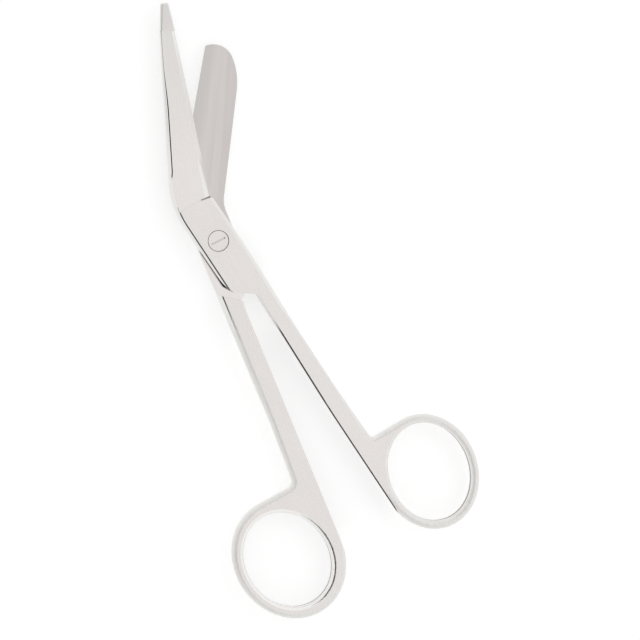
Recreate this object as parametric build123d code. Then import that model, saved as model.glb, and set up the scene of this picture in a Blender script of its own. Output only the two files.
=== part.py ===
from build123d import *
import math
import os

# Bandage scissors with a lap joint, in millimetres. Two forged halves turn on one slotted screw.
# Each half is drawn in its own frame: pivot at the origin, flat mating face at z = 0, outer face
# above it, own shank on the +x side, blade towards +y. Then it is turned into place.

# Lap joint
joint_width = 12.4
joint_thickness = 5.6
mating_gap = 0.04
rest_opening = 11.1
edge_round = 1.2
lobe_end_fall = 5.7
crotch_depth = 20.5
crotch_round = 2.2
lobe_corner = 1.6
lobe_corner_lean = -28.0
shoulder_clearance = 0.65

# Shanks
shank_inner_offset = 0.2
inner_relief_length = 43.0
inner_stock = 1.6
shank_end_thickness = 3.7

# Handle of the probe half
probe_inner_relief = 1.1
probe_shank_narrowing = 0.65
probe_narrowing_depth = 34.0
probe_knee_flare = 0.45
probe_knee_depth = 78.4
probe_knee_round = 1.6
probe_ring_bore_width = 25.4
probe_ring_bore_length = 31.3
probe_ring_wall = 2.65
probe_bore_shift = 0.05
probe_ring_crown_rise = -0.8
probe_ring_tilt = 9.0

# Handle of the round-tip half
round_inner_relief = 0.2
round_shank_narrowing = 0.05
round_narrowing_depth = 46.0
round_knee_flare = 0.7
round_knee_depth = 79.0
round_knee_round = 2.4
round_ring_bore_width = 25.7
round_ring_bore_length = 30.9
round_ring_wall = 4.0
round_bore_shift = 0.6
round_ring_crown_rise = -0.9
round_ring_tilt = 16.0

# Both handles
narrowing_start = 10.0
knee_flare_length = 20.0
ring_overlap = 0.3

# Blade with the probe tip, leaning towards +x
probe_spine_height = 16.6
probe_spine_length = 53.4
probe_spine_lean = 30.45
probe_spine_round = 26.0
probe_heel_height = 13.3
probe_edge_length = 50.4
probe_edge_lean = 21.6
probe_tip_thickness = 1.5
guard_length = 8.3
guard_lean = 27.2
guard_tip_width = 2.4
guard_thickness = 1.75
guard_round = 0.45

# Blade with the round tip, leaning away from its own shank
round_spine_height = 9.4
round_spine_length = 34.5
round_spine_lean = -29.9
round_spine_round = 9.0
round_belly_radius = 20.0
round_nose_radius = 6.4
round_heel_height = 16.0
round_edge_lean = -33.1
round_tip_thickness = 2.1

# Grinding of both blades
heel_round = 6.0
edge_stock = 1.5
heel_edge_thickness = 2.1
edge_land = 0.25
edge_bevel_width = 2.0
plunge_drop = 1.6
plunge_rise = 0.3

# Pivot screw
head_diameter = 6.4
head_height = 1.2
head_clearance = 0.1
head_chamfer = 0.12
journal_diameter = 3.8
journal_clearance = 0.03
thread_diameter = 3.2
thread_clearance = 0.02
slot_length = 4.6
slot_width = 0.55
slot_depth = 0.4
slot_lean = -3.0

# Cuts run past the faces that they open by this much
overrun = 2.0

# Rounding of the slight bends in the shank's outer and inner sides
gentle_round = 200.0

quarter_turn = 90

half_width = joint_width / 2
half_thickness = (joint_thickness - mating_gap) / 2


def sine(angle):
    return math.sin(math.radians(angle))


def cosine(angle):
    return math.cos(math.radians(angle))


def along(start, length, lean):
    """The point that lies a length from start, leaning from +y towards +x."""
    return (start[0] + length * sine(lean), start[1] + length * cosine(lean))


def lean_of(start, end):
    """How far the line from start to end leans from +y towards +x."""
    return math.degrees(math.atan2(end[0] - start[0], end[1] - start[1]))


def point_on_ring(ring, share_angle):
    """A point of the ring's outer ellipse at an angle of its own parameter."""
    across = ring["outer_width"] / 2 * math.cos(share_angle)
    down = ring["outer_length"] / 2 * math.sin(share_angle)
    tilt = ring["tilt"]
    x = ring["centre"][0] + across * cosine(tilt) + down * sine(tilt)
    y = ring["centre"][1] - across * sine(tilt) + down * cosine(tilt)
    return (x, y)


def ring_tangent(ring, point, side):
    """Where a line from the point touches the ring's outer ellipse, on one side or the other."""
    dx = point[0] - ring["centre"][0]
    dy = point[1] - ring["centre"][1]
    tilt = ring["tilt"]
    across = (dx * cosine(tilt) - dy * sine(tilt)) / (ring["outer_width"] / 2)
    down = (dx * sine(tilt) + dy * cosine(tilt)) / (ring["outer_length"] / 2)
    facing = math.atan2(down, across)
    spread = math.acos(1 / math.hypot(across, down))
    return point_on_ring(ring, facing + side * spread)


def make_ring(bore_width, bore_length, wall, bore_shift, crown_height, tilt):
    """Sizes of a finger ring that hangs from its crown, a little past the shank's inner side."""
    outer_width = bore_width + 2 * wall
    outer_length = bore_length + 2 * wall
    reach = math.hypot(outer_width / 2 * cosine(tilt), outer_length / 2 * sine(tilt))
    drop = math.hypot(outer_length / 2 * cosine(tilt), outer_width / 2 * sine(tilt))
    centre = (shank_inner_offset - ring_overlap + reach, crown_height - drop)
    return {
        "bore_width": bore_width,
        "bore_length": bore_length,
        "outer_width": outer_width,
        "outer_length": outer_length,
        "thin_wall": wall - bore_shift,
        "tilt": tilt,
        "centre": centre,
        "bore_centre": (centre[0] + bore_shift, centre[1]),
    }


def ring_face(ring, centre, width, length):
    return Pos(*centre) * Rot(0, 0, -ring["tilt"]) * Ellipse(width / 2, length / 2)


def soften(face, point, radius):
    """Rounds the corner of a flat outline that lies nearest to the point."""
    corner = face.vertices().sort_by_distance((point[0], point[1], 0))[0]
    return fillet(corner, radius)


def handle_outline(ring, shank_narrowing, narrowing_depth, knee_flare, knee_depth, knee_round):
    """Joint, shank and ring from above, with stock left on the shank's inner side."""
    shank_x = half_width - shank_narrowing
    stock_x = shank_inner_offset - inner_stock
    stock_start = crotch_depth + joint_width / 2
    lobe_end = (-half_width, -crotch_depth + overrun)
    stock_top = (stock_x, -stock_start)
    stock_end = (stock_x, ring["centre"][1] + ring["bore_length"] / 4)
    knee = (shank_x + knee_flare, -knee_depth)
    flare_start = (shank_x, knee_flare_length - knee_depth)
    narrowing_end = (shank_x, -narrowing_depth)
    narrowing_top = (half_width, -narrowing_start)
    outline = make_face(
        Polyline(
            (half_width, 0),
            (-half_width, 0),
            lobe_end,
            stock_top,
            stock_end,
            ring_tangent(ring, stock_end, 1),
            ring["centre"],
            ring_tangent(ring, knee, -1),
            knee,
            flare_start,
            narrowing_end,
            narrowing_top,
            close=True,
        )
    )
    outline += ring_face(ring, ring["centre"], ring["outer_width"], ring["outer_length"])
    outline = soften(outline, lobe_end, crotch_round)
    outline = soften(outline, stock_top, crotch_round)
    outline = soften(outline, stock_end, crotch_depth)
    outline = soften(outline, narrowing_top, gentle_round)
    outline = soften(outline, narrowing_end, gentle_round)
    outline = soften(outline, flare_start, gentle_round)
    return soften(outline, knee, knee_round)


def side_profile(ring):
    """Thickness along the half: level at the joint, eased down to the ring."""
    ring_end = ring["centre"][1] - ring["outer_length"]
    ease_end = ring["centre"][1] + ring["outer_length"] / 2 + ring["thin_wall"]
    ease_start = -crotch_depth - half_width / 2
    ease_middle = (ease_start + ease_end) / 2
    far = probe_spine_height + 2 * probe_spine_length
    top = half_thickness
    low = shank_end_thickness / 2 - mating_gap / 2
    upper = [
        Line((far, top), (ease_start, top)),
        Bezier((ease_start, top), (ease_middle, top), (ease_middle, low), (ease_end, low)),
        Line((ease_end, low), (ring_end, low)),
    ]
    floor = -mating_gap
    lower = [
        Line((ring_end, floor - low), (ease_end, floor - low)),
        Bezier(
            (ease_end, floor - low),
            (ease_middle, floor - low),
            (ease_middle, floor - top),
            (ease_start, floor - top),
        ),
        Line((ease_start, floor - top), (far, floor - top)),
    ]
    ends = [Line((ring_end, low), (ring_end, floor - low)), Line((far, floor - top), (far, top))]
    profile = Plane.YZ * make_face(upper + lower + ends)
    return extrude(profile, amount=2 * ring["outer_length"], both=True)


def probe_blade_outline():
    """Probe blade from above as forged, up to the step where the probe guard begins."""
    spine_start = (-half_width, probe_spine_height)
    heel = (half_width, probe_heel_height)
    spine_end = along(spine_start, probe_spine_length, probe_spine_lean)
    edge_end = along(heel, probe_edge_length, probe_edge_lean)
    stock_end = along(edge_end, edge_stock, lean_of(spine_end, edge_end))
    outline = make_face(
        Polyline(
            (-half_width, 0), spine_start, spine_end, stock_end, heel, (half_width, 0), close=True
        )
    )
    outline = soften(outline, spine_start, probe_spine_round)
    return soften(outline, heel, heel_round)


def round_blade_outline():
    """Round-tip blade from above as forged, with stock along the side that becomes its edge."""
    spine_start = (-half_width, round_spine_height)
    spine_end = along(spine_start, round_spine_length, round_spine_lean)
    belly_end = (
        spine_end[0] - round_belly_radius * (1 - cosine(round_spine_lean)),
        spine_end[1] - round_belly_radius * sine(round_spine_lean),
    )
    nose_centre = (belly_end[0] + round_nose_radius, belly_end[1])
    nose_end = along(nose_centre, round_nose_radius, round_edge_lean + quarter_turn)
    stock_length = (half_width - nose_end[0]) / sine(round_edge_lean)
    stock_heel = along(nose_end, stock_length, round_edge_lean)
    belly = TangentArc(spine_end, belly_end, tangent=(sine(round_spine_lean), cosine(round_spine_lean)))
    nose = ThreePointArc(belly_end, along(nose_centre, round_nose_radius, round_edge_lean / 2), nose_end)
    side = Polyline(nose_end, stock_heel, (half_width, 0), (-half_width, 0), spine_start, spine_end)
    outline = make_face([*side.edges(), belly, nose])
    outline = soften(outline, spine_start, round_spine_round)
    return soften(outline, stock_heel, heel_round)


def edge_trim(heel, lean, far):
    """Everything past a blade's straight edge, ground off the forging."""
    high = along(heel, far, lean)
    outline = make_face(Polyline(heel, high, (far, high[1]), (far, heel[1]), close=True))
    return extrude(outline, amount=joint_thickness, both=True)


def rim_edges(blank, end_height):
    """Edges round the top and bottom of the walls, apart from a wall that ends a blade."""
    walls = [face for face in blank.faces() if abs(face.normal_at().Z) < 0.5]
    kept = [wall for wall in walls if wall.center().Y < end_height]
    return [edge for wall in kept for edge in wall.edges() if abs(edge.tangent_at(0.5).Z) < 0.7]


def forging(outline, ring, end_height):
    """The half as forged: its outline at the thickness of the side profile, all edges rounded."""
    outline -= ring_face(ring, ring["bore_centre"], ring["bore_width"], ring["bore_length"])
    blank = extrude(outline, amount=joint_thickness, both=True) & side_profile(ring)
    radius = min(edge_round, ring["thin_wall"] * 0.46, shank_end_thickness * 0.46)
    return fillet(rim_edges(blank, end_height), radius)


def lobe_slope(inner_relief):
    """Fall of the lobe's slanted end for each unit across."""
    return lobe_end_fall / (half_width + shank_inner_offset + inner_relief)


def inner_side_cut(inner_relief, far):
    """What is ground off the forging: the shank's flat inner side and the lobe's slanted end."""
    relief_end = (shank_inner_offset, -crotch_depth - inner_relief_length)
    crotch = (shank_inner_offset + inner_relief, -crotch_depth)
    across = half_width - lobe_corner + crotch[0]
    corner = (crotch[0] - across, across * lobe_slope(inner_relief) - crotch_depth)
    corner_end = along(corner, 4 * lobe_corner, lobe_corner_lean)
    outline = make_face(
        Polyline(
            (shank_inner_offset, -far),
            relief_end,
            crotch,
            corner,
            corner_end,
            (-far, corner_end[1]),
            (-far, -far),
            close=True,
        )
    )
    outline = soften(outline, relief_end, gentle_round)
    outline = soften(outline, crotch, crotch_round)
    outline = soften(outline, corner, lobe_corner)
    return extrude(outline, amount=joint_thickness, both=True)


def lap_cut(other_relief, far):
    """Room for the other half under the mating face, down to a shoulder that clears its lobe."""
    shoulder = (-shank_inner_offset - other_relief, -crotch_depth - shoulder_clearance)
    rise = lobe_slope(other_relief) * far
    outline = make_face(
        Polyline(
            (shoulder[0] - far, shoulder[1] - rise),
            (shoulder[0] + far, shoulder[1] + rise),
            (shoulder[0] + far, far),
            (shoulder[0] - far, far),
            close=True,
        )
    )
    return extrude(outline, amount=-joint_thickness)


def above_plane(low_spine, high_spine, heel, far):
    """The space above a slanted plane through three points, for grinding a blade."""
    origin = Vector(*low_spine)
    run = Vector(*high_spine) - origin
    across = Vector(*heel) - origin
    normal = run.cross(across)
    normal = normal * math.copysign(1, normal.Z)
    plane = Plane(origin=origin, x_dir=run, z_dir=normal)
    return extrude(plane * Rectangle(2 * far, 2 * far), amount=far)


def past_plunge(heel_height, far):
    """The part of the blade's side that the grinding wheel reaches, up to its plunge arc."""
    plunge = ThreePointArc(
        (-joint_width, heel_height - plunge_drop / 2),
        (0, heel_height + plunge_rise),
        (joint_width, heel_height - 3 * plunge_drop),
    )
    border = Polyline(plunge @ 1, (far, plunge.position_at(1).Y), (far, far), (-far, far))
    border += Line((-far, far), (-far, plunge.position_at(0).Y))
    border += Line((-far, plunge.position_at(0).Y), plunge @ 0)
    outline = make_face([*border.edges(), plunge])
    return extrude(outline, amount=joint_thickness)


def ground_blade(half, spine_start, spine_end, spine_thickness, heel, edge_end):
    """Grinds the blade's outer face thin towards its edge, then bevels the edge."""
    far = 2 * math.dist(heel, edge_end)
    reached = past_plunge(heel[1], far)
    face_cut = above_plane(
        (*spine_start, half_thickness),
        (*spine_end, spine_thickness),
        (*heel, heel_edge_thickness),
        far,
    )
    bevel_foot = along(heel, edge_bevel_width, lean_of(heel, edge_end) - quarter_turn)
    bevel_cut = above_plane(
        (*heel, edge_land),
        (*edge_end, edge_land),
        (*bevel_foot, heel_edge_thickness),
        far,
    )
    half -= face_cut & reached
    return half - (bevel_cut & reached)


def probe_guard(spine_end, edge_end):
    """The blunt probe that slides under a bandage: unground, with every edge rounded."""
    middle = ((spine_end[0] + edge_end[0]) / 2, (spine_end[1] + edge_end[1]) / 2)
    tip = along(middle, guard_length, guard_lean)
    tip_left = along(tip, guard_tip_width / 2, guard_lean - quarter_turn)
    tip_right = along(tip, guard_tip_width / 2, guard_lean + quarter_turn)
    outline = make_face(Polyline(spine_end, tip_left, tip_right, edge_end, close=True))
    outline = soften(outline, tip_left, guard_tip_width / 4)
    outline = soften(outline, tip_right, guard_tip_width / 4)
    guard = extrude(outline, amount=guard_thickness)
    base = guard.faces().sort_by_distance((*middle, guard_thickness / 2))[0]
    base_edges = base.edges()
    rim = [
        edge
        for edge in guard.edges()
        if abs(edge.tangent_at(0.5).Z) < 0.5 and edge not in base_edges
    ]
    return fillet(rim, min(guard_round, guard_tip_width / 5))


def screw_hole_cut():
    """Bore for the journal and a counterbore for the head, in the probe half."""
    floor = half_thickness - head_height
    bore = Cylinder(
        journal_diameter / 2 + journal_clearance,
        2 * joint_thickness,
    )
    recess = Pos(0, 0, floor) * Cylinder(
        head_diameter / 2 + head_clearance,
        joint_thickness,
        align=(Align.CENTER, Align.CENTER, Align.MIN),
    )
    return bore + recess


def probe_half():
    ring = make_ring(
        probe_ring_bore_width,
        probe_ring_bore_length,
        probe_ring_wall,
        probe_bore_shift,
        probe_ring_crown_rise - probe_knee_depth,
        probe_ring_tilt,
    )
    spine_start = (-half_width, probe_spine_height)
    heel = (half_width, probe_heel_height)
    spine_end = along(spine_start, probe_spine_length, probe_spine_lean)
    edge_end = along(heel, probe_edge_length, probe_edge_lean)
    far = 2 * ring["outer_length"]
    outline = handle_outline(
        ring,
        probe_shank_narrowing,
        probe_narrowing_depth,
        probe_knee_flare,
        probe_knee_depth,
        probe_knee_round,
    )
    half = forging(outline + probe_blade_outline(), ring, edge_end[1])
    half -= edge_trim(heel, probe_edge_lean, far)
    half -= inner_side_cut(probe_inner_relief, 2 * far)
    half -= lap_cut(round_inner_relief, 2 * far)
    half = ground_blade(half, spine_start, spine_end, probe_tip_thickness, heel, edge_end)
    half += probe_guard(spine_end, edge_end)
    return half - screw_hole_cut()


def round_tip_half():
    ring = make_ring(
        round_ring_bore_width,
        round_ring_bore_length,
        round_ring_wall,
        round_bore_shift,
        round_ring_crown_rise - round_knee_depth,
        round_ring_tilt,
    )
    spine_start = (-half_width, round_spine_height)
    heel = (half_width, round_heel_height)
    spine_end = along(spine_start, round_spine_length, round_spine_lean)
    edge_end = along(heel, round_spine_length, round_edge_lean)
    far = 2 * ring["outer_length"]
    outline = handle_outline(
        ring,
        round_shank_narrowing,
        round_narrowing_depth,
        round_knee_flare,
        round_knee_depth,
        round_knee_round,
    )
    half = forging(outline + round_blade_outline(), ring, far)
    half -= edge_trim(heel, round_edge_lean, far)
    half -= inner_side_cut(round_inner_relief, 2 * far)
    half -= lap_cut(probe_inner_relief, 2 * far)
    half = ground_blade(half, spine_start, spine_end, round_tip_thickness, heel, edge_end)
    return half - Cylinder(thread_diameter / 2 + thread_clearance, 2 * joint_thickness)


def pivot_screw():
    """Slotted screw, flush at both faces, drawn where it sits."""
    head_floor = joint_thickness - head_height + thread_clearance
    journal_floor = half_thickness + mating_gap / 2
    rest = (Align.CENTER, Align.CENTER, Align.MIN)
    head = Pos(0, 0, head_floor) * Cylinder(
        head_diameter / 2, joint_thickness - head_floor, align=rest
    )
    head = chamfer(head.edges().sort_by(Axis.Z)[-1], head_chamfer)
    journal = Pos(0, 0, journal_floor) * Cylinder(
        journal_diameter / 2, head_floor - journal_floor, align=rest
    )
    thread = Cylinder(thread_diameter / 2, journal_floor, align=rest)
    slot = Pos(0, 0, joint_thickness - slot_depth) * Rot(0, 0, slot_lean) * extrude(
        SlotOverall(slot_length, slot_width), amount=joint_thickness
    )
    return head + journal + thread - slot


def place_probe_half(half):
    return Pos(0, 0, (joint_thickness + mating_gap) / 2) * Rot(0, 0, rest_opening / 2) * half


def place_round_tip_half(half):
    turned = Rot(0, 180, 0) * half
    return Pos(0, 0, (joint_thickness - mating_gap) / 2) * Rot(0, 0, -rest_opening / 2) * turned


nodes = {
    "probe_half": place_probe_half(probe_half()),
    "round_tip_half": place_round_tip_half(round_tip_half()),
    "pivot_screw": pivot_screw(),
}

os.makedirs("parts", exist_ok=True)
for name, shape in nodes.items():
    shape.label = name
    export_step(shape, "parts/" + name + ".step")
    print(name, round(shape.volume, 1), shape.is_valid, len(shape.solids()), len(shape.faces()))
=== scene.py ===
import math

import bmesh
import bpy
from mathutils import Matrix, Vector

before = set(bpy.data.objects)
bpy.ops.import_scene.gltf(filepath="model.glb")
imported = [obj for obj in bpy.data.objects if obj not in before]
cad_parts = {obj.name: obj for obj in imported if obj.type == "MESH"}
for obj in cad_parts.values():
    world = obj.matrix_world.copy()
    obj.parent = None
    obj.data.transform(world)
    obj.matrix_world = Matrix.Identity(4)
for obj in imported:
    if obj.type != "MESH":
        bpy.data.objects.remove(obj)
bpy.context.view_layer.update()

# Camera: a long lens, nearly square to the flat of the scissors, a little to the left and above.
# The picture is turned so that the blades point up and the handles fall to the lower right.
picture_turn = math.radians(28.25)
picture_width = 0.1952
camera_left = math.radians(14.0)
camera_above = math.radians(5.0)
camera_distance = 1.5
camera_range = 20
sensor_width = 36
target_right = 0.03184
target_down = 0.02474
target_height = 0.005
picture_right = Vector((math.cos(picture_turn), -math.sin(picture_turn), 0))
picture_up = Vector((math.sin(picture_turn), math.cos(picture_turn), 0))
target = picture_right * target_right - picture_up * target_down + Vector((0, 0, target_height))
toward_camera = Vector((0, 0, 1)) - picture_right * math.tan(camera_left)
toward_camera += picture_up * math.tan(camera_above)
toward_camera.normalize()
camera_right = picture_up.cross(toward_camera).normalized()
camera_up = toward_camera.cross(camera_right)
lens = bpy.data.cameras.new("camera")
lens.sensor_width = sensor_width
lens.lens = sensor_width * camera_distance / picture_width
lens.clip_end = camera_range
camera = bpy.data.objects.new("camera", lens)
turned = Matrix((camera_right, camera_up, toward_camera)).transposed().to_4x4()
camera.matrix_world = Matrix.Translation(target + toward_camera * camera_distance) @ turned
bpy.context.scene.collection.objects.link(camera)
bpy.context.scene.camera = camera

# Studio: a white room, lit evenly by its walls, with one soft lamp to the right for a faint shadow.
# A dark panel under the ceiling, seen by the steel alone, draws the thin dark lines along rounded
# edges. It hangs a little to the left.
room_level = 0.72
lamp_size = 0.6
lamp_level = 0.9
lamp_distance = 1.3
lamp_right = 0.9
lamp_up = 0.5
lamp_overhead = 0.8
panel_right_edge = math.radians(6.0)
panel_left_edge = math.radians(40.0)
panel_top_edge = math.radians(34.0)
panel_bottom_edge = math.radians(-48.0)
panel_softness = 0.06
panel_level = 0.03
horizon = 0.05


def join(tree, source, target_socket):
    """Links an output socket, or sets a plain value on the input."""
    if isinstance(source, bpy.types.NodeSocket):
        tree.links.new(source, target_socket)
    else:
        target_socket.default_value = source


def add_math(tree, operation, first, second=0.0, third=0.0):
    node = tree.nodes.new("ShaderNodeMath")
    node.operation = operation
    for socket, value in zip(node.inputs, (first, second, third)):
        join(tree, value, socket)
    return node.outputs["Value"]


def add_product(tree, *shares):
    product = shares[0]
    for share in shares[1:]:
        product = add_math(tree, "MULTIPLY", product, share)
    return product


def add_ramp(tree, value, low, high, at_low=0.0, at_high=1.0):
    """A smooth step of a value from one level to another, which may be the lower one."""
    node = tree.nodes.new("ShaderNodeMapRange")
    node.interpolation_type = "SMOOTHSTEP"
    inputs = ("Value", "From Min", "From Max", "To Min", "To Max")
    for name, level in zip(inputs, (value, low, high, at_low, at_high)):
        join(tree, level, node.inputs[name])
    return node.outputs["Result"]


def add_dot(tree, vector, along):
    node = tree.nodes.new("ShaderNodeVectorMath")
    node.operation = "DOT_PRODUCT"
    join(tree, vector, node.inputs[0])
    join(tree, along, node.inputs[1])
    return node.outputs["Value"]


world = bpy.data.worlds.new("white_room")
world.use_nodes = True
room = world.node_tree
sky = room.nodes["Background"]
ray = room.nodes.new("ShaderNodeLightPath")
direction = room.nodes.new("ShaderNodeTexCoord").outputs["Generated"]
overhead = add_dot(room, direction, Vector((0, 0, 1)))
leftward = add_math(room, "DIVIDE", add_dot(room, direction, -picture_right), overhead)
upward = add_math(room, "DIVIDE", add_dot(room, direction, picture_up), overhead)
panel = add_math(room, "GREATER_THAN", overhead, horizon)
for distance, edge, sign in (
    (leftward, panel_right_edge, 1),
    (leftward, panel_left_edge, -1),
    (upward, panel_bottom_edge, 1),
    (upward, panel_top_edge, -1),
):
    border = math.tan(edge)
    inside = add_ramp(room, distance, border - sign * panel_softness, border + sign * panel_softness)
    panel = add_product(room, panel, inside)
reflected = add_math(room, "MULTIPLY_ADD", panel, panel_level - 1.0, 1.0)
seen_in_steel = add_product(room, ray.outputs["Is Glossy Ray"], reflected)
level = add_math(room, "ADD", ray.outputs["Is Camera Ray"], seen_in_steel)
level = add_math(room, "ADD", level, ray.outputs["Is Transmission Ray"])
spread = add_product(room, ray.outputs["Is Diffuse Ray"], room_level)
room.links.new(add_math(room, "ADD", level, spread), sky.inputs["Strength"])
sky.inputs["Color"].default_value = (1, 1, 1, 1)
bpy.context.scene.world = world

lamp_light = bpy.data.lights.new("soft_lamp", "AREA")
lamp_light.shape = "DISK"
lamp_light.size = lamp_size
lamp_light.energy = lamp_level
lamp = bpy.data.objects.new("soft_lamp", lamp_light)
toward_lamp = picture_right * lamp_right + picture_up * lamp_up + Vector((0, 0, lamp_overhead))
toward_lamp.normalize()
lamp.location = target + toward_lamp * lamp_distance
lamp.rotation_euler = toward_lamp.to_track_quat("Z", "Y").to_euler()
lamp.visible_glossy = False
bpy.context.scene.collection.objects.link(lamp)

# Floor: a plain white sheet just under the joint, far wider than the picture.
# The camera and the steel see it white, and it keeps the faint shadow of the scissors.
floor_white = (0.6, 0.6, 0.6, 1)
floor_lift = 0.57
floor_reach = 2.5
floor_drop = 0.0002
paper_roughness = 0.9
floor_mesh = bpy.data.meshes.new("floor")
floor_shape = bmesh.new()
bmesh.ops.create_grid(floor_shape, x_segments=1, y_segments=1, size=floor_reach)
floor_shape.to_mesh(floor_mesh)
floor_shape.free()
floor = bpy.data.objects.new("floor", floor_mesh)
floor.location.z = -floor_drop
floor_material = bpy.data.materials.new("white_sheet")
floor_material.use_nodes = True
sheet = floor_material.node_tree
sheet_shader = sheet.nodes["Principled BSDF"]
sheet_shader.inputs["Base Color"].default_value = floor_white
sheet_shader.inputs["Roughness"].default_value = paper_roughness
sheet_shader.inputs["Specular IOR Level"].default_value = 0.0
sheet_shader.inputs["Emission Color"].default_value = (1, 1, 1, 1)
sheet_ray = sheet.nodes.new("ShaderNodeLightPath")
seen = add_math(
    sheet, "ADD", sheet_ray.outputs["Is Camera Ray"], sheet_ray.outputs["Is Glossy Ray"]
)
seen = add_math(sheet, "ADD", seen, sheet_ray.outputs["Is Transmission Ray"])
lift = add_product(sheet, seen, floor_lift)
sheet.links.new(lift, sheet_shader.inputs["Emission Strength"])
floor_mesh.materials.append(floor_material)
bpy.context.scene.collection.objects.link(floor)

# Round-tip half: one drop forging in stainless steel, with the short blade and the thicker ring.
# Its flats are belt-ground to a satin along the length. Its rounded sides are buffed bright near
# the joint and tumbled dull towards the ring, and its blade shows the smoother inner face.
mating_height = 0.0028
mating_margin = (0.0002, 0.0001)
mating_facing = (0.9, 0.99)
round_tip_lean = math.radians(5.55)
round_blade_lean = math.radians(33.0)
satin_roughness = 0.28
buffed_roughness = 0.09
tumbled_roughness = 0.7
round_rim_roughness = 0.22
lapped_roughness = 0.14
outer_face_tone = (0.79, 0.755, 0.735, 1)
buffed_tone = (0.80, 0.79, 0.77, 1)
tumbled_tone = (0.88, 0.87, 0.85, 1)
bore_painted_shade = (0.45, 0.43, 0.415, 1)
side_painted_shade = (0.27, 0.255, 0.245, 1)
flat_facing = (0.99, 0.9985)
upright_facing = (0.1, 0.03)
border_facing = (0.97, 0.98)
border_steepest = 0.9
blade_begins = (0.014, 0.02)
dulls = (-0.012, -0.036)
ring_begins = (-0.066, -0.074)
streaks_apart = (2600, 60, 3.0)
scratches_apart = (12000, 250, 2.0)
clouds_apart = (90, 50, 2.0)
cloud_share = 0.8
grain_depth = 0.09
streak_roughness = 0.10
scratch_roughness = 0.06
side_unevenness = 0.4
scratch_depth = 0.000004
scratch_strength = 0.3
side_margin = (0.00008, 0.00004)
side_fades_in = 0.006
side_fades_out = 0.003
painted_band_heights = (0.0019, 0.0048)
band_softness = 0.0002
bulge_lean = 0.7
bore_reach = 0.0175
bore_softness = 0.0005
round_ring_middle = (-0.0270, -0.0970)
round_inner_sides = (
    ((0.9958, -0.0921), -0.000495, -0.0295, -0.0630),
    ((0.9953, -0.0967), -0.0002, -0.0550, -0.1000),
)
inner_face_begins = (-0.004, 0.004)
inner_face_tone = (0.595, 0.56, 0.545, 1)
inner_face_sheen = (0.63, 0.597, 0.58, 1)
sheen_apart = (420, 10, 1.0)
sheen_levels = (0.35, 0.65)
cutting_side = (-0.781, 0.6246)
cutting_side_reach = (0.0089, 0.0139)
cutting_side_painted_shade = (0.565, 0.54, 0.525, 1)


def add_streaks(tree, place, lean, apart):
    """Noise drawn out in a direction that leans from +Y to +X.

    apart holds the streaks a metre across and along, and the detail of the noise.
    """
    across, along, detail = apart
    mapping = tree.nodes.new("ShaderNodeMapping")
    mapping.vector_type = "TEXTURE"
    mapping.inputs["Rotation"].default_value = (0, 0, -lean)
    mapping.inputs["Scale"].default_value = (1 / across, 1 / along, 1 / along)
    tree.links.new(place, mapping.inputs["Vector"])
    noise = tree.nodes.new("ShaderNodeTexNoise")
    noise.inputs["Scale"].default_value = 1.0
    noise.inputs["Detail"].default_value = detail
    tree.links.new(mapping.outputs["Vector"], noise.inputs["Vector"])
    return noise.outputs["Fac"]


def add_mix(tree, share, first, second, blend="MIX"):
    node = tree.nodes.new("ShaderNodeMix")
    node.data_type = "RGBA"
    node.blend_type = blend
    join(tree, share, node.inputs["Factor"])
    join(tree, first, node.inputs["A"])
    join(tree, second, node.inputs["B"])
    return node.outputs["Result"]


def add_blend(tree, share, first, second):
    """A number between two others, such as a roughness between two finishes."""
    step = add_math(tree, "SUBTRACT", second, first)
    return add_math(tree, "MULTIPLY_ADD", share, step, first)


def add_distance(tree, place, middle):
    """How far a point is from an upright line."""
    level = tree.nodes.new("ShaderNodeVectorMath")
    level.operation = "MULTIPLY"
    level.inputs[1].default_value = (1, 1, 0)
    tree.links.new(place, level.inputs[0])
    node = tree.nodes.new("ShaderNodeVectorMath")
    node.operation = "DISTANCE"
    tree.links.new(level.outputs["Vector"], node.inputs[0])
    node.inputs[1].default_value = (*middle, 0)
    return node.outputs["Value"]


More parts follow.
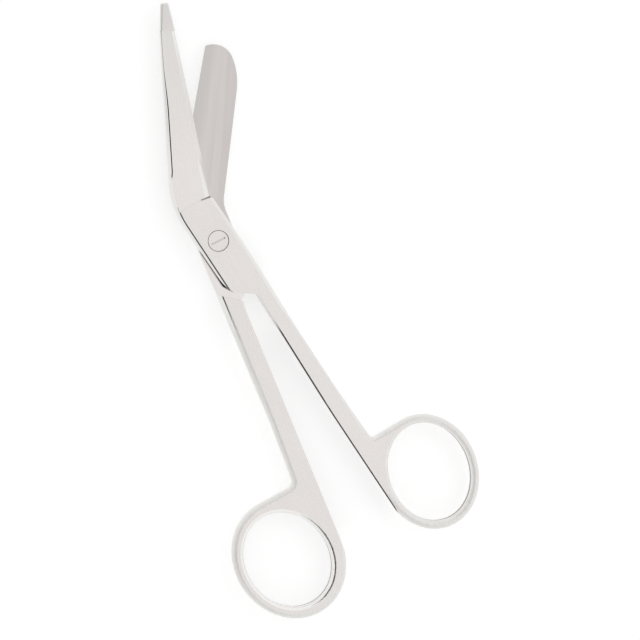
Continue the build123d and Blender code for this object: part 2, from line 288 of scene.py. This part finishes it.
class GroundSteel:
    """Stainless steel with satin flats, buffed or tumbled sides, and fine grain along the part."""

    def __init__(self, name, grain_lean, blade_lean):
        self.material = bpy.data.materials.new(name)
        self.material.use_nodes = True
        tree = self.tree = self.material.node_tree
        self.shader = tree.nodes["Principled BSDF"]
        self.shader.inputs["Metallic"].default_value = 1.0
        coordinates = tree.nodes.new("ShaderNodeTexCoord")
        self.place = coordinates.outputs["Object"]
        self.facing = coordinates.outputs["Normal"]
        position = tree.nodes.new("ShaderNodeSeparateXYZ")
        tree.links.new(self.place, position.inputs["Vector"])
        self.across_part = position.outputs["X"]
        self.along_part = position.outputs["Y"]
        self.height = position.outputs["Z"]
        normal = tree.nodes.new("ShaderNodeSeparateXYZ")
        tree.links.new(self.facing, normal.inputs["Vector"])
        self.facing_up = normal.outputs["Z"]
        level = add_math(tree, "ABSOLUTE", self.facing_up)
        self.flat = add_ramp(tree, level, *flat_facing)
        self.upright = add_ramp(tree, level, *upright_facing)
        on_blade = add_ramp(tree, self.along_part, *blade_begins)
        self.streaks, self.scratches = (
            add_blend(
                tree,
                on_blade,
                add_streaks(tree, self.place, grain_lean, apart),
                add_streaks(tree, self.place, blade_lean, apart),
            )
            for apart in (streaks_apart, scratches_apart)
        )
        self.clouds = add_streaks(tree, self.place, grain_lean, clouds_apart)
        dulled = add_ramp(tree, self.along_part, *dulls)
        side = add_blend(tree, dulled, buffed_roughness, tumbled_roughness)
        self.roughness = add_blend(tree, self.flat, side, satin_roughness)
        side_tone = add_mix(tree, dulled, buffed_tone, tumbled_tone)
        self.colour = add_mix(tree, self.flat, side_tone, outer_face_tone)
        self.normal = tree.nodes.new("ShaderNodeNewGeometry").outputs["Normal"]

    def tint(self, share, tone):
        """Colours a share of the surface."""
        self.colour = add_mix(self.tree, share, self.colour, tone)

    def roughen(self, share, roughness):
        """Gives a share of the surface another roughness."""
        self.roughness = add_blend(self.tree, share, self.roughness, roughness)

    def turn_face(self, share, toward):
        """Shades a share of the surface as if it faced another way, given in the part's own axes."""
        tree = self.tree
        facing = tree.nodes.new("ShaderNodeCombineXYZ")
        for axis, amount in zip("XYZ", toward):
            join(tree, amount, facing.inputs[axis])
        turned = tree.nodes.new("ShaderNodeVectorTransform")
        turned.vector_type = "NORMAL"
        turned.convert_from = "OBJECT"
        turned.convert_to = "WORLD"
        tree.links.new(facing.outputs["Vector"], turned.inputs["Vector"])
        normal = tree.nodes.new("ShaderNodeMix")
        normal.data_type = "VECTOR"
        join(tree, share, normal.inputs[0])
        tree.links.new(self.normal, normal.inputs[4])
        tree.links.new(turned.outputs["Vector"], normal.inputs[5])
        self.normal = normal.outputs[1]

    def round_border(self, direction, distance, radius, share):
        """Shades a flat's border as rounded over towards an upright plane, and buffed."""
        tree = self.tree
        past_rim = add_dot(tree, self.place, Vector((*direction, 0)))
        past_rim = add_math(tree, "ADD", add_math(tree, "SUBTRACT", past_rim, distance), radius)
        sine = add_math(tree, "MAXIMUM", add_math(tree, "DIVIDE", past_rim, radius), 0.0)
        sine = add_math(tree, "MINIMUM", sine, border_steepest)
        along_x = add_product(tree, sine, direction[0])
        along_y = add_product(tree, sine, direction[1])
        upward = add_math(tree, "SUBTRACT", 1.0, add_product(tree, sine, sine))
        upward = add_math(tree, "SQRT", upward)
        on_border = add_ramp(tree, self.facing_up, *border_facing)
        past = add_math(tree, "GREATER_THAN", past_rim, 0.0)
        on_border = add_product(tree, on_border, past, share)
        self.turn_face(on_border, (along_x, along_y, upward))
        self.roughen(on_border, buffed_roughness)

    def dress_side(self, direction, distance, upper, lower, shade_tone):
        """Gives an upright side a satin roughness and a dark band shaded as slightly bulging; the
        band's colour is painted shade, standing in for a dark reflection along the side.
        """
        tree = self.tree
        across = add_dot(tree, self.place, Vector((*direction, 0)))
        offset = add_math(tree, "ABSOLUTE", add_math(tree, "SUBTRACT", across, distance))
        below_upper = add_ramp(tree, self.along_part, upper, upper - side_fades_in)
        above_lower = add_ramp(tree, self.along_part, lower, lower + side_fades_out)
        on_side = add_ramp(tree, offset, *side_margin)
        on_side = add_product(tree, on_side, self.upright, below_upper, above_lower)
        self.roughen(on_side, satin_roughness)
        bottom, top = painted_band_heights
        above_bottom = add_ramp(tree, self.height, bottom - band_softness, bottom + band_softness)
        below_top = add_ramp(tree, self.height, top + band_softness, top - band_softness)
        band = add_product(tree, above_bottom, below_top, on_side)
        self.tint(band, shade_tone)
        self.turn_face(band, (direction[0] * bulge_lean, direction[1] * bulge_lean, bulge_lean))

    def dress_bore(self, ring_middle, rim_roughness):
        """Gives the rim inside the ring its own roughness, and darkens its upright wall with painted
        shade.
        """
        tree = self.tree
        inward = tree.nodes.new("ShaderNodeVectorMath")
        inward.operation = "SUBTRACT"
        inward.inputs[0].default_value = (*ring_middle, mating_height)
        tree.links.new(self.place, inward.inputs[1])
        facing_in = add_dot(tree, self.facing, inward.outputs["Vector"])
        ring_distance = add_distance(tree, self.place, ring_middle)
        in_bore = add_product(
            tree,
            add_math(tree, "GREATER_THAN", facing_in, 0.0),
            add_ramp(tree, self.along_part, *ring_begins),
            add_ramp(tree, ring_distance, bore_reach + bore_softness, bore_reach),
        )
        rim = add_product(tree, in_bore, add_math(tree, "SUBTRACT", 1.0, self.flat))
        self.roughen(rim, rim_roughness)
        self.tint(add_product(tree, in_bore, self.upright), bore_painted_shade)

    def finish(self, depth):
        """Adds the grain to the colour, the roughness and the relief."""
        tree = self.tree
        mean_grain = (1.0 + cloud_share) / 2
        amount = add_math(tree, "MULTIPLY_ADD", self.streaks, depth, 1.0 - mean_grain * depth)
        amount = add_math(tree, "MULTIPLY_ADD", self.clouds, cloud_share * depth, amount)
        shaded = tree.nodes.new("ShaderNodeVectorMath")
        shaded.operation = "SCALE"
        tree.links.new(self.colour, shaded.inputs[0])
        tree.links.new(amount, shaded.inputs["Scale"])
        tree.links.new(shaded.outputs["Vector"], self.shader.inputs["Base Color"])
        mean_unevenness = (streak_roughness + scratch_roughness) / 2
        uneven = add_math(tree, "MULTIPLY_ADD", self.streaks, streak_roughness, -mean_unevenness)
        uneven = add_math(tree, "MULTIPLY_ADD", self.scratches, scratch_roughness, uneven)
        uneven = add_product(tree, uneven, add_blend(tree, self.flat, side_unevenness, 1.0))
        roughness = add_math(tree, "ADD", self.roughness, uneven)
        tree.links.new(roughness, self.shader.inputs["Roughness"])
        bump = tree.nodes.new("ShaderNodeBump")
        bump.inputs["Distance"].default_value = scratch_depth
        bump.inputs["Strength"].default_value = scratch_strength
        relief = add_product(tree, self.scratches, self.flat)
        tree.links.new(relief, bump.inputs["Height"])
        tree.links.new(self.normal, bump.inputs["Normal"])
        tree.links.new(bump.outputs["Normal"], self.shader.inputs["Normal"])


steel = GroundSteel("round_tip_steel_ground", round_tip_lean, round_blade_lean)
tree = steel.tree
margin, inner_margin = mating_margin
from_below = add_ramp(tree, steel.height, mating_height - margin, mating_height - inner_margin)
past_mating = add_ramp(tree, steel.height, mating_height + inner_margin, mating_height + margin)
mating = add_math(tree, "SUBTRACT", from_below, past_mating)
mating = add_product(tree, mating, add_ramp(tree, steel.facing_up, *mating_facing))
steel.roughen(mating, lapped_roughness)
# Painted light on the blade's inner face: lighter streaks along the blade are a painted sheen, and
# painted shade darkens it towards the cutting edge, beside the probe blade.
sheen = add_streaks(tree, steel.place, round_blade_lean, sheen_apart)
sheen = add_ramp(tree, sheen, *sheen_levels)
inner_face = add_mix(tree, sheen, inner_face_tone, inner_face_sheen)
from_edge = add_dot(tree, steel.place, Vector((*cutting_side, 0)))
near_edge = add_ramp(tree, from_edge, *cutting_side_reach)
inner_face = add_mix(tree, near_edge, inner_face, cutting_side_painted_shade)
on_blade = add_ramp(tree, steel.along_part, *inner_face_begins)
steel.tint(add_product(tree, mating, on_blade), inner_face)
# Painted shade: dark bands along the inner upright sides of the shanks.
for side in round_inner_sides:
    steel.dress_side(*side, side_painted_shade)
steel.dress_bore(round_ring_middle, round_rim_roughness)
steel.finish(grain_depth)
for material_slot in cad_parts["round_tip_half"].material_slots:
    material_slot.material = steel.material

# Probe half: the upper forging in the same steel, with the long blade that ends in a blunt guard.
# It carries the screw's counterbore and turns on the screw's journal. It is ground and buffed as
# the other half is, the back of its blade is buffed round, and painted shade darkens its lap corner.
probe_lean = math.radians(-5.55)
probe_blade_lean = math.radians(24.9)
probe_ring_middle = (0.0247, -0.0955)
probe_rim_roughness = 0.6
dark_side_painted_shade = (0.055, 0.05, 0.048, 1)
probe_inner_sides = (
    ((-0.9975, -0.0712), -0.001824, -0.0295, -0.0630),
    ((-0.9953, -0.0967), -0.0002, -0.0550, -0.1030),
)
back_direction = (-0.907, 0.421)
back_distance = 0.013757
back_round = 0.0012
back_round_at_tip = 0.0003
back_narrows = (0.041, 0.057)
back_begins = (0.0225, 0.0255)
bevel_facing = (0.05, 0.15)
bevel_begins = (0.022, 0.026)
bevel_tone = (0.93, 0.905, 0.89, 1)
bevel_roughness = 0.45
guard_begins = (0.063, 0.065)
guard_roughness = 0.33
tip_begins = (0.025, 0.06)
tip_painted_shade = (0.93, 0.945, 0.945, 1)
corner_begins = (0.0005, -0.0015)
corner_thickens = (-0.009, -0.0125)
corner_ends = (-0.0172, -0.0162)
corner_stays_left = (0.001, 0.0)
corner_height = 0.0012
corner_rise = 0.0014
corner_softness = 0.0001
corner_facing = (0.5, 0.4)
corner_painted_shade = (0.03, 0.028, 0.027, 1)
corner_turn = (-0.68, -0.16, 0.7)
lobe_end = (-0.0112, -0.0142)
lobe_end_facing = 0.4
hole_reach = (0.0038, 0.0037)
hole_facing = (0.95, 0.8)
plunge_middle = (-0.00258, -0.01422)
plunge_radius = 0.02778
plunge_rises = (-0.00008, 0.0)
plunge_falls = (0.0004, 0.00025)
plunge_left = (0.0009, 0.0017)
plunge_right = (0.0048, 0.0044)
plunge_facing = (0.5, 0.7)
plunge_painted_shade = (0.3, 0.285, 0.275, 1)
recess_painted_shade = (0.1, 0.095, 0.09, 1)

steel = GroundSteel("probe_steel_ground", probe_lean, probe_blade_lean)
tree = steel.tree
on_guard = add_ramp(tree, steel.along_part, *guard_begins)
off_guard = add_math(tree, "SUBTRACT", 1.0, on_guard)
on_back = add_product(tree, add_ramp(tree, steel.along_part, *back_begins), off_guard)
radius = add_ramp(tree, steel.along_part, *back_narrows, back_round, back_round_at_tip)
steel.round_border(back_direction, back_distance, radius, on_back)
facing_cut = add_dot(tree, steel.facing, Vector((-back_direction[0], -back_direction[1], 0)))
on_bevel = add_ramp(tree, facing_cut, *bevel_facing)
on_bevel = add_product(tree, on_bevel, add_ramp(tree, steel.along_part, *bevel_begins))
steel.tint(on_bevel, bevel_tone)
steel.roughen(on_bevel, bevel_roughness)
steel.roughen(on_guard, guard_roughness)
# Painted shade: the blade's colour grows darker towards its tip.
near_tip = add_ramp(tree, steel.along_part, *tip_begins)
steel.colour = add_mix(tree, near_tip, steel.colour, tip_painted_shade, blend="MULTIPLY")
above_mating = add_math(tree, "SUBTRACT", steel.height, mating_height)
thickened = add_ramp(tree, steel.along_part, *corner_thickens)
corner_top = add_math(tree, "MULTIPLY_ADD", thickened, corner_rise, corner_height)
above_corner = add_math(tree, "SUBTRACT", above_mating, corner_top)
at_lobe_end = add_ramp(tree, steel.along_part, *lobe_end)
steepness = add_blend(tree, at_lobe_end, 0.0, lobe_end_facing)
steepness = add_math(tree, "SUBTRACT", steel.facing_up, steepness)
# Painted shade: the lap corner where the halves meet is coloured near black.
in_shaded_corner = add_product(
    tree,
    add_ramp(tree, above_corner, corner_softness, -corner_softness),
    add_ramp(tree, above_mating, 0.0, corner_softness),
    add_ramp(tree, steepness, *corner_facing),
    add_ramp(tree, steel.along_part, *corner_begins),
    add_ramp(tree, steel.along_part, *corner_ends),
    add_ramp(tree, steel.across_part, *corner_stays_left),
)
steel.tint(in_shaded_corner, corner_painted_shade)
steel.turn_face(in_shaded_corner, corner_turn)
# Painted shade on the wall of the counterbore round the screw head.
pivot_distance = add_distance(tree, steel.place, (0, 0))
in_hole = add_ramp(tree, pivot_distance, *hole_reach)
in_hole = add_product(tree, in_hole, add_ramp(tree, steel.facing_up, *hole_facing))
steel.tint(in_hole, recess_painted_shade)
# Painted shade: a dark line on the blade's face just past the plunge step.
plunge_distance = add_distance(tree, steel.place, plunge_middle)
past_plunge = add_math(tree, "SUBTRACT", plunge_distance, plunge_radius)
in_plunge = add_product(
    tree,
    add_ramp(tree, past_plunge, *plunge_rises),
    add_ramp(tree, past_plunge, *plunge_falls),
    add_ramp(tree, steel.across_part, *plunge_left),
    add_ramp(tree, steel.across_part, *plunge_right),
    add_ramp(tree, steel.facing_up, *plunge_facing),
)
steel.tint(in_plunge, plunge_painted_shade)
# Painted shade: near-black bands along the inner upright sides of the shanks.
for side in probe_inner_sides:
    steel.dress_side(*side, dark_side_painted_shade)
steel.dress_bore(probe_ring_middle, probe_rim_roughness)
steel.finish(grain_depth)
for material_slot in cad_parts["probe_half"].material_slots:
    material_slot.material = steel.material

# Pivot screw: a turned stainless screw with a slotted head, ground flush with the joint.
# It is screwed into the round-tip half, and its journal is the hinge. Painted shade darkens the
# side of its head, the floor of its slot and the ends of its slot.
screw_turn = math.radians(62.0)
screw_grain_depth = 0.08
slot_painted_shade = (0.66, 0.63, 0.61, 1)
slot_begins = (0.00535, 0.00525)
slot_end = (0.00205, 0.00215)
head_side = (0.003, 0.0031)

steel = GroundSteel("screw_steel_ground", screw_turn, screw_turn)
tree = steel.tree
pivot_distance = add_distance(tree, steel.place, (0, 0))
# Painted shade: the floor of the slot is coloured darker.
in_slot = add_ramp(tree, steel.height, *slot_begins)
steel.tint(in_slot, slot_painted_shade)
# Painted shade at the ends of the slot and on the side of the head.
in_slot_end = add_product(tree, in_slot, add_ramp(tree, pivot_distance, *slot_end))
steel.tint(in_slot_end, recess_painted_shade)
at_side = add_product(tree, add_ramp(tree, pivot_distance, *head_side), steel.upright)
steel.tint(at_side, recess_painted_shade)
steel.finish(screw_grain_depth)
for material_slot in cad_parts["pivot_screw"].material_slots:
    material_slot.material = steel.material

bpy.context.scene.view_settings.view_transform = "Standard"
